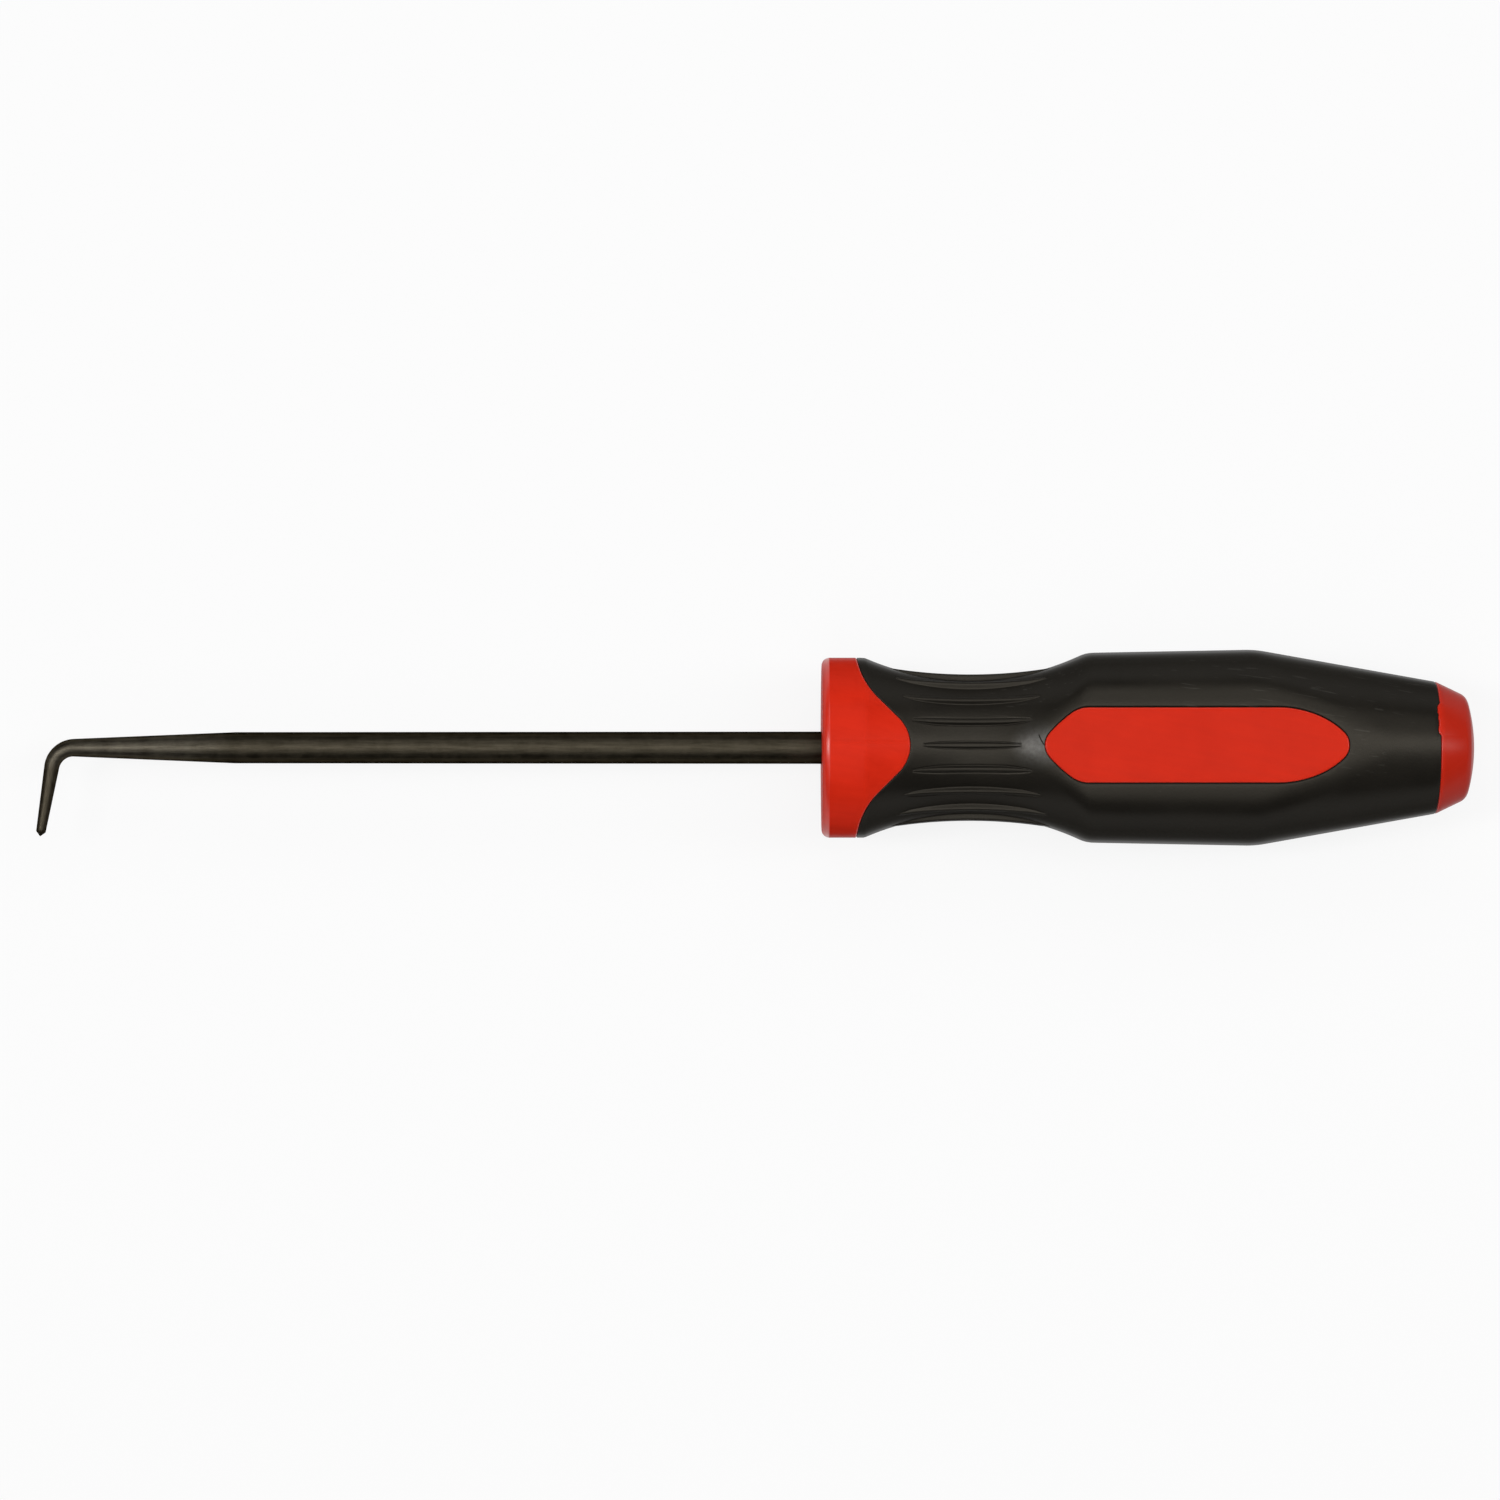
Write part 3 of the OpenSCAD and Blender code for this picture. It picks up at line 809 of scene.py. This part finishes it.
class Material(Nodes):
    """A material made of nodes, with places on the object in metres."""

    def __init__(self, name):
        self.material = bpy.data.materials.new(name)
        self.material.use_nodes = True
        super().__init__(self.material.node_tree)
        self.shader = self.tree.nodes["Principled BSDF"]
        self.place = self.node("ShaderNodeTexCoord").outputs["Object"]
        split = self.node("ShaderNodeSeparateXYZ", {"Vector": self.place})
        self.x = split.outputs["X"]
        self.y = split.outputs["Y"]

    def set(self, **values):
        """Feeds inputs of the shader, by their names with _ for a space."""
        for key, value in values.items():
            self.feed(self.shader.inputs[key.replace("_", " ")], value)

    def mapped(self, stretch, turn=0.0):
        """Places stretched along each axis, after a turn about the vertical."""
        angles = (0.0, 0.0, math.radians(turn))
        turned = self.node("ShaderNodeMapping", {"Vector": self.place, "Rotation": angles})
        made = self.node("ShaderNodeMapping", {"Vector": turned.outputs["Vector"], "Scale": stretch})
        return made.outputs["Vector"]

    def noise(self, scale=1.0, detail=RICH, roughness=NOISE_ROUGHNESS, vector=None):
        """Noise with about as many spots in a metre as its scale says."""
        made = self.node("ShaderNodeTexNoise", {
            "Vector": vector or self.place, "Scale": scale, "Detail": detail, "Roughness": roughness})
        return made.outputs["Fac"]

    def specks(self, scale, size, share):
        """Small round specks: one at most in each cell, in a share of the cells."""
        cells = self.node("ShaderNodeTexVoronoi", {"Vector": self.place, "Scale": scale})
        spot = self.ramp(cells.outputs["Distance"], (size / 2, size), FALL)
        chance = self.node("ShaderNodeSeparateColor", {"Color": cells.outputs["Color"]}).outputs["Red"]
        return self.maths("MULTIPLY", spot, self.maths("LESS_THAN", chance, share))

    def blend(self, factor, first, second):
        """Mix of two colours."""
        made = self.node("ShaderNodeMix", {"Factor": factor}, data_type="RGBA")
        sockets = {socket.identifier: socket for socket in made.inputs}
        self.feed(sockets["A_Color"], first)
        self.feed(sockets["B_Color"], second)
        return next(socket for socket in made.outputs if socket.identifier == "Result_Color")

    def satin(self, facing):
        """Roughness of a satin skin, which goes dull where it turns away and gleams again at its rim."""
        turned = self.node("ShaderNodeLayerWeight", {"Blend": SATIN_BLEND}).outputs["Facing"]
        dull = self.ramp(turned, SATIN_TURN, (facing, SATIN_DULL))
        return self.ramp(turned, SATIN_RIM, (dull, SATIN_GLEAM))

    def away_from(self, x, y):
        """Distance in metres, seen from above, from a place on the handle in millimetres."""
        level = self.mapped((1.0, 1.0, 0.0))
        centre = (handle_x(x), y * MM, 0.0)
        return self.node("ShaderNodeVectorMath", {0: level, 1: centre}, operation="DISTANCE").outputs["Value"]

    def rubbed(self):
        """How far hands have rubbed an edge, as the mesh says it."""
        return self.node("ShaderNodeAttribute", attribute_name="rubbed").outputs["Fac"]

    def bump(self, *layers):
        """Bump of several layers, each as its height, strength and depth in metres."""
        normal = None
        for height, strength, depth in layers:
            inputs = {"Height": height, "Strength": strength, "Distance": depth}
            if normal is not None:
                inputs["Normal"] = normal
            normal = self.node("ShaderNodeBump", inputs).outputs["Normal"]
        self.set(Normal=normal)


def handle_x(x):
    """Distance from the handle's front face, as an X of the row frame in metres."""
    return float((ORIGIN[0] + x) * MM)


# Red plastic: clouds, grain and sink marks in a metre, and the stretch and turn of its flow lines
RED_CLOUDS = 140.0
RED_GRAINS = 2600.0
RED_SINKS = 260.0
RED_FLOW = (70.0, 900.0, 900.0)
RED_FLOW_TURN = 12.0
RED_FLOW_SHARE = 0.6

# Red plastic: its colours, among them a darker one that paints shade over the window and the butt, its gloss,
# and its bumps as strength and depth
RED_TONES = (0.55, 1.05)
RED_DULL = (0.450, 0.0150, 0.0046, 1.0)
RED_BRIGHT = (0.515, 0.0180, 0.0058, 1.0)
RED_PAINTED_SHADE = (0.340, 0.0130, 0.0044, 1.0)
WINDOW_PAINTED_SHADE = 0.22
RED_IOR = 1.12
RED_SHEEN = (1.0, 0.92, 0.78, 1.0)
RED_ROUGHNESS = (0.33, 0.43)
RED_SINK_BUMP = (0.10, 0.0004)
RED_GRAIN_BUMP = (0.06, 0.0001)

# Butt: half the stretch over which it turns deeper with painted shade, its gloss and its share of a clear
# coat
BUTT_BLEND = 1.0
BUTT_ROUGHNESS = 0.25
BUTT_COAT = 0.25

# Clear coat of rubbed and polished places
COAT_ROUGHNESS = 0.3


def red_plastic():
    """Hard plastic: cloudy pigment, faint flow lines, rubbed edges, a glossier butt, and painted shade that
    deepens the red over the window and the butt.
    """
    made = Material("red_plastic")
    cloud = made.noise(RED_CLOUDS)
    flow = made.noise(detail=PLAIN, vector=made.mapped(RED_FLOW, RED_FLOW_TURN))
    grain = made.noise(RED_GRAINS, PLAIN)
    sink = made.noise(RED_SINKS, SMOOTH)
    butt_span = (handle_x(GRIP_END_X - BUTT_BLEND), handle_x(GRIP_END_X + BUTT_BLEND))
    on_butt = made.ramp(made.x, butt_span)
    # Painted shade over the window: share of the darker red, rising from the tongue's tip to the window's
    # front
    window_span = (handle_x(TONGUE_TIP_X), handle_x(WINDOW_FRONT_X))
    window_painted_shade = made.ramp(made.x, window_span, (0.0, WINDOW_PAINTED_SHADE))
    tone = made.ramp(made.maths("ADD", cloud, made.maths("MULTIPLY", flow, RED_FLOW_SHARE)), RED_TONES)
    pigment = made.blend(tone, RED_DULL, RED_BRIGHT)
    # Painted shade: the red turns fully darker on the butt and partly darker from the tongue's tip back over
    # the window
    made.set(Base_Color=made.blend(made.maths("MAXIMUM", on_butt, window_painted_shade), pigment, RED_PAINTED_SHADE))
    made.set(IOR=RED_IOR, Specular_Tint=RED_SHEEN)
    gloss = made.ramp(flow, NOISE_BODY, RED_ROUGHNESS)
    made.set(Roughness=made.satin(made.between(on_butt, gloss, BUTT_ROUGHNESS)))
    coat = made.maths("MAXIMUM", made.rubbed(), made.maths("MULTIPLY", on_butt, BUTT_COAT))
    made.set(Coat_Weight=coat, Coat_Roughness=COAT_ROUGHNESS)
    made.bump((sink, *RED_SINK_BUMP), (grain, *RED_GRAIN_BUMP))
    return made.material


# Soft grip: clouds, grain and sink marks in a metre, its colours, its gloss, and its bumps as strength
# and depth
GRIP_CLOUDS = 90.0
GRIP_GRAINS = 3200.0
GRIP_SINKS = 220.0
GRIP_DARK = (0.0042, 0.0037, 0.0029, 1.0)
GRIP_PALE = (0.0058, 0.0051, 0.0040, 1.0)
GRIP_WORN = (0.0170, 0.0160, 0.0140, 1.0)
GRIP_IOR = 1.30
GRIP_SHEEN = (1.0, 0.91, 0.75, 1.0)
GRIP_CLOUD_SPAN = (0.25, 0.75)
GRIP_ROUGHNESS = (0.34, 0.43)
GRIP_SINK_BUMP = (0.08, 0.0004)
GRIP_GRAIN_BUMP = (0.20, 0.0001)

# Scuffs along the handle, in patches, and specks as cells in a metre, size in a cell and share of cells
SCUFF_PATCHES = 45.0
SCUFF_PATCH_SPAN = (0.50, 0.62)
SCUFF_STRETCH = (110.0, 2300.0, 2300.0)
SCUFF_TURN = 8.0
SCUFF_SPAN = (0.66, 0.72)
GRIP_SPECKS = (330.0, 0.04, 0.08)

# Polish ahead of the window: distance of its middle from the tip, its fading edge in metres, and its mottle
POLISH_AHEAD = 1.2
POLISH_REACH = (0.0008, 0.0046)
POLISH_MOTTLES = 1400.0
POLISH_SPAN = (0.35, 0.65)
POLISH_SHARES = (0.65, 1.0)
POLISH_ROUGHNESS = 0.28

# Fine crease at the window's front tip: an arc about a centre and near a middle, both as X and Y in the
# handle, with the fading edges of its width and length in metres
CREASE_CENTRE = (41.2, 3.5)
CREASE_R = 5.83
CREASE_MIDDLE = (36.1, 0.8)
CREASE_WIDTH = (0.00006, 0.00014)
CREASE_REACH = (0.0009, 0.0013)
CREASE_ROUGHNESS = 0.9


def grip_wear(made):
    """Share of scuffs and specks."""
    patches = made.ramp(made.noise(SCUFF_PATCHES, SMOOTH), SCUFF_PATCH_SPAN)
    lines = made.ramp(made.noise(detail=SMOOTH, vector=made.mapped(SCUFF_STRETCH, SCUFF_TURN)), SCUFF_SPAN)
    return made.maths("MAXIMUM", made.maths("MULTIPLY", lines, patches), made.specks(*GRIP_SPECKS))


def grip_polish(made):
    """Share of the mottled polish ahead of the window."""
    mottle = made.ramp(made.noise(POLISH_MOTTLES, PLAIN), POLISH_SPAN, POLISH_SHARES)
    patch = made.ramp(made.away_from(WINDOW_FRONT_X - POLISH_AHEAD, 0.0), POLISH_REACH, FALL)
    return made.maths("MULTIPLY", patch, mottle)


def grip_crease(made):
    """Share of the fine crease."""
    off_arc = made.maths("ABSOLUTE", made.maths("SUBTRACT", made.away_from(*CREASE_CENTRE), CREASE_R * MM))
    near = made.ramp(made.away_from(*CREASE_MIDDLE), CREASE_REACH, FALL)
    return made.maths("MULTIPLY", made.ramp(off_arc, CREASE_WIDTH, FALL), near)


def black_grip():
    """Soft grip: a fine grain, scuffs and specks, and polish with a crease ahead of each window."""
    made = Material("black_grip")
    cloud = made.noise(GRIP_CLOUDS)
    grain = made.noise(GRIP_GRAINS, PLAIN)
    sink = made.noise(GRIP_SINKS, SMOOTH)
    pigment = made.blend(made.ramp(cloud, NOISE_BODY), GRIP_DARK, GRIP_PALE)
    made.set(Base_Color=made.blend(grip_wear(made), pigment, GRIP_WORN))
    made.set(IOR=GRIP_IOR, Specular_Tint=GRIP_SHEEN)
    polish = grip_polish(made)
    crease = grip_crease(made)
    matt = made.ramp(cloud, GRIP_CLOUD_SPAN, GRIP_ROUGHNESS)
    shine = made.between(polish, matt, POLISH_ROUGHNESS)
    made.set(Roughness=made.satin(made.between(crease, shine, CREASE_ROUGHNESS)))
    made.set(Coat_Weight=made.between(crease, polish, 0.0), Coat_Roughness=COAT_ROUGHNESS)
    made.bump((sink, *GRIP_SINK_BUMP), (grain, *GRIP_GRAIN_BUMP))
    return made.material


# Steel: stretch of its grain along the shank and along the hook, mottles and pits in a metre, and how much
# each finer layer of the grain and of the mottles counts
STEEL_SHANK_GRAIN = (170.0, 2300.0, 2300.0)
STEEL_HOOK_GRAIN = (2300.0, 260.0, 2300.0)
STEEL_GRAIN_NOISE = 0.6
STEEL_MOTTLES = 420.0
STEEL_MOTTLE_NOISE = 0.65
STEEL_PITS = 3600.0

# Steel: length over which the ground part begins, its colours from dark to pale, gloss, and bumps
STEEL_GROUND_LEN = TAPER_LEN / 3
STEEL_TONES = (0.75, 1.25)
STEEL_DRAWN = ((0.0230, 0.0195, 0.0132, 1.0), (0.0430, 0.0370, 0.0262, 1.0))
STEEL_GROUND = ((0.0370, 0.0325, 0.0240, 1.0), (0.0780, 0.0695, 0.0535, 1.0))
STEEL_SHEEN = (0.15, 0.13, 0.10, 1.0)
STEEL_ROUGHNESS = (0.36, 0.50)
STEEL_MOTTLE_BUMP = (0.10, 0.0002)
STEEL_PIT_BUMP = (0.20, 0.0001)
STEEL_GRAIN_BUMP = (0.15, 0.0001)


def dark_steel():
    """Blackened steel: drawn along the shank and the hook, ground to a greyer grain along the taper."""
    made = Material("dark_steel")
    along_shank = made.noise(1.0, FINE, STEEL_GRAIN_NOISE, made.mapped(STEEL_SHANK_GRAIN))
    along_hook = made.noise(1.0, FINE, STEEL_GRAIN_NOISE, made.mapped(STEEL_HOOK_GRAIN, BEND_TURN - 90.0))
    on_hook = made.ramp(made.y, (-BEND_R * MM, -BEND_R * MM / 2), FALL)
    grain = made.between(on_hook, along_shank, along_hook)
    mottle = made.noise(STEEL_MOTTLES, FINE, STEEL_MOTTLE_NOISE)
    pits = made.noise(STEEL_PITS, PLAIN)
    on_taper = made.ramp(made.x, (handle_x(-SHANK_LEN - STEEL_GROUND_LEN), handle_x(-SHANK_LEN)), FALL)
    tone = made.ramp(made.maths("ADD", grain, mottle), STEEL_TONES)
    drawn = made.blend(tone, *STEEL_DRAWN)
    ground = made.blend(on_hook, made.blend(tone, *STEEL_GROUND), drawn)
    made.set(Base_Color=made.blend(on_taper, drawn, ground), Metallic=1.0, Specular_Tint=STEEL_SHEEN)
    made.set(Roughness=made.ramp(mottle, NOISE_BODY, STEEL_ROUGHNESS))
    made.bump((mottle, *STEEL_MOTTLE_BUMP), (pits, *STEEL_PIT_BUMP), (grain, *STEEL_GRAIN_BUMP))
    return made.material


# Floor: half its length, its colour and gloss, and the share of plain white that it shows to the eye
# and in reflections
FLOOR_REACH = 6.0
FLOOR_COLOUR = (0.60, 0.60, 0.60, 1.0)
FLOOR_ROUGHNESS = 0.9
FLOOR_IOR = 1.1
FLOOR_WHITE = 0.86
WHITE_STRENGTH = 1.0

# Room: light at a height over the horizon, which runs from nought to one overhead
HORIZON_SPAN = (0.0, 0.08)
CEILING_SPAN = (0.05, 1.0)
CEILING_LIGHT = (0.03, 0.20)

# Lamps: lean from the zenith towards +X and +Y in degrees, size along X and Y in metres, and radiance
LAMP_HEIGHT = 1.3
LAMPS = {
    "lamp_over": (0.0, 0.0, 0.45, 1.20, 3.2),
    "lamp_back": (9.0, 42.0, 1.00, 0.55, 2.3),
    "lamp_front": (0.0, -33.0, 0.60, 0.35, 2.0),
    "lamp_left": (-25.5, 1.0, 0.20, 0.30, 23.0),
    "lamp_strip": (-42.0, 0.0, 0.15, 0.60, 11.0),
    "lamp_right": (29.0, 6.0, 0.34, 0.95, 5.8),
    "lamp_butt": (52.0, 2.0, 0.20, 0.35, 6.0),
}

# Camera: elevation in degrees, distance and target in metres, and lens and sensor in millimetres
CAMERA_ELEVATION = 88.0
CAMERA_DISTANCE = 1.012
CAMERA_TARGET = (-0.00079, -0.00038, 0.015)
CAMERA_LENS = 145.7
CAMERA_SENSOR = 36.0


def make_floor():
    """A plain white floor."""
    mesh = bpy.data.meshes.new("floor")
    corners = [(-FLOOR_REACH, -FLOOR_REACH, 0), (FLOOR_REACH, -FLOOR_REACH, 0)]
    corners += [(FLOOR_REACH, FLOOR_REACH, 0), (-FLOOR_REACH, FLOOR_REACH, 0)]
    mesh.from_pydata(corners, [], [(0, 1, 2, 3)])
    floor = bpy.data.objects.new("floor", mesh)
    bpy.context.scene.collection.objects.link(floor)
    made = Material("floor")
    made.set(Base_Color=FLOOR_COLOUR, Roughness=FLOOR_ROUGHNESS, IOR=FLOOR_IOR)
    rays = made.node("ShaderNodeLightPath").outputs
    mirrored = made.maths("MAXIMUM", rays["Is Glossy Ray"], rays["Is Transmission Ray"])
    seen = made.maths("MAXIMUM", rays["Is Camera Ray"], mirrored)
    white = made.node("ShaderNodeEmission", {"Color": WHITE, "Strength": WHITE_STRENGTH})
    share = made.maths("MULTIPLY", seen, FLOOR_WHITE)
    mixed = made.node("ShaderNodeMixShader", {0: share, 1: made.shader.outputs[0], 2: white.outputs[0]})
    made.feed(made.tree.nodes["Material Output"].inputs["Surface"], mixed.outputs[0])
    mesh.materials.append(made.material)


def make_room():
    """A dim room, lighter overhead, with a white line at the horizon."""
    world = bpy.data.worlds.new("room")
    bpy.context.scene.world = world
    world.use_nodes = True
    room = Nodes(world.node_tree)
    direction = room.node("ShaderNodeTexCoord").outputs["Generated"]
    height = room.node("ShaderNodeSeparateXYZ", {"Vector": direction}).outputs["Z"]
    horizon = room.ramp(height, HORIZON_SPAN, FALL)
    ceiling = room.ramp(height, CEILING_SPAN, CEILING_LIGHT)
    background = room.tree.nodes["Background"]
    room.feed(background.inputs["Color"], WHITE)
    room.feed(background.inputs["Strength"], room.maths("MAXIMUM", horizon, ceiling))


def make_lamps():
    """Soft lamps round the camera."""
    for name, (lean_x, lean_y, wide, deep, radiance) in LAMPS.items():
        light = bpy.data.lights.new(name, "AREA")
        light.shape = "RECTANGLE"
        light.size = wide
        light.size_y = deep
        light.energy = radiance * math.pi * wide * deep
        lamp = bpy.data.objects.new(name, light)
        slope = Vector((math.tan(math.radians(lean_x)), math.tan(math.radians(lean_y)), 1.0))
        lamp.location = slope.normalized() * LAMP_HEIGHT
        lamp.rotation_euler = slope.to_track_quat("Z", "Y").to_euler()
        bpy.context.scene.collection.objects.link(lamp)


def make_camera():
    """The photograph's view: nearly straight down on the face with the window."""
    elevation = math.radians(CAMERA_ELEVATION)
    camera = bpy.data.cameras.new("camera")
    camera.sensor_width = CAMERA_SENSOR
    camera.lens = CAMERA_LENS
    obj = bpy.data.objects.new("camera", camera)
    back = Vector((0.0, -math.cos(elevation), math.sin(elevation)))
    obj.location = Vector(CAMERA_TARGET) + CAMERA_DISTANCE * back
    obj.rotation_euler = (math.pi / 2 - elevation, 0.0, 0.0)
    bpy.context.scene.collection.objects.link(obj)
    bpy.context.scene.camera = obj


bpy.context.scene.view_settings.view_transform = "Standard"
make_camera()
make_floor()
make_room()
make_lamps()

skin = Skin()
core_points, core_faces = skin.shell(True)
core = make_object("handle_body", core_points, core_faces)
mark_rubbed(core, skin.rubbed()[used_points(core_faces)])
grip = make_object("soft_grip", *skin.shell(False))
pick = make_object("pick_bar", *pick_mesh())
hand_in(core, "handle_core", red_plastic())
hand_in(grip, "grip_sleeve", black_grip())
hand_in(pick, "pick_shank", dark_steel())
